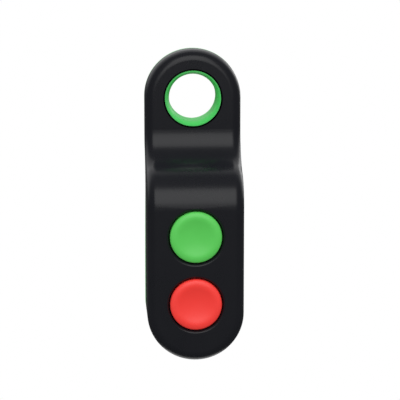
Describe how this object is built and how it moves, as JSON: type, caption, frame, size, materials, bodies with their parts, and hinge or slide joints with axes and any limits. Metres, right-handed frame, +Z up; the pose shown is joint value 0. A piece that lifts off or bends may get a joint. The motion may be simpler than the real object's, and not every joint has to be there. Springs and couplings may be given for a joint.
{
  "type": "wireless push button box",
  "caption": "Hand-held wireless push button box with a hanging eye, a swept front, and dished green and red push buttons.",
  "frame": {"origin": "centre of the hanging eye, on its axis inside the green tube", "axes": "+Z up towards the eye end, along the case's length; +Y from the front face to the back; +X to the right seen from the front"},
  "size_m": [0.0404, 0.0338, 0.1276],
  "materials": {
    "shell_black": "fine moulded texture, satin",
    "cover_green": "moulded, satin",
    "cap_green": "moulded, semi-gloss",
    "cap_red": "moulded, semi-gloss",
    "seal_rubber": "matte",
    "zinc_steel": "zinc plated",
    "spring_steel": "drawn wire",
    "brass": "turned",
    "switch_plastic": "moulded",
    "plunger_plastic": "moulded",
    "board_laminate": "glass-fibre laminate with green solder resist",
    "chip_epoxy": "moulded epoxy",
    "tin_steel": "tinned sheet"
  },
  "bodies": {
    "case": {"front_shell": "shell_black", "rear_cover": "cover_green", "case_gasket": "seal_rubber", "case_screws": "zinc_steel", "thread_inserts": "brass", "plate_screws": "zinc_steel", "start_seal": "seal_rubber", "start_spring": "spring_steel", "start_switch": "switch_plastic", "stop_seal": "seal_rubber", "stop_spring": "spring_steel", "stop_switch": "switch_plastic", "circuit_board": "board_laminate", "board_screws": "zinc_steel", "radio_can": "tin_steel", "controller_chip": "chip_epoxy", "crystal": "tin_steel", "antenna": "brass", "battery_holder": "switch_plastic", "coin_cell": "zinc_steel", "battery_spring": "spring_steel", "battery_contact": "spring_steel"},
    "start_button": {"start_cap": "cap_green", "start_clip": "spring_steel"},
    "start_switch_plunger": {"start_plunger": "plunger_plastic"},
    "stop_button": {"stop_cap": "cap_red", "stop_clip": "spring_steel"},
    "stop_switch_plunger": {"stop_plunger": "plunger_plastic"}
  },
  "joints": [
    {"name": "start_press", "type": "slide", "parent": "case", "child": "start_button", "axis": [0, 1, 0], "range_m": [0, 0.0022], "stiffness_N_per_m": 900, "springref_m": -0.003, "deforming": ["start_spring"]},
    {"name": "stop_press", "type": "slide", "parent": "case", "child": "stop_button", "axis": [0, 1, 0], "range_m": [0, 0.0022], "stiffness_N_per_m": 900, "springref_m": -0.003, "deforming": ["stop_spring"]},
    {"name": "start_plunger_travel", "type": "slide", "parent": "case", "child": "start_switch_plunger", "axis": [0, 1, 0], "range_m": [0, 0.0022]},
    {"name": "stop_plunger_travel", "type": "slide", "parent": "case", "child": "stop_switch_plunger", "axis": [0, 1, 0], "range_m": [0, 0.0022]}
  ],
  "couplings": [
    {"joint": "start_plunger_travel", "follows": "start_press", "ratio": 1},
    {"joint": "stop_plunger_travel", "follows": "stop_press", "ratio": 1}
  ]
}
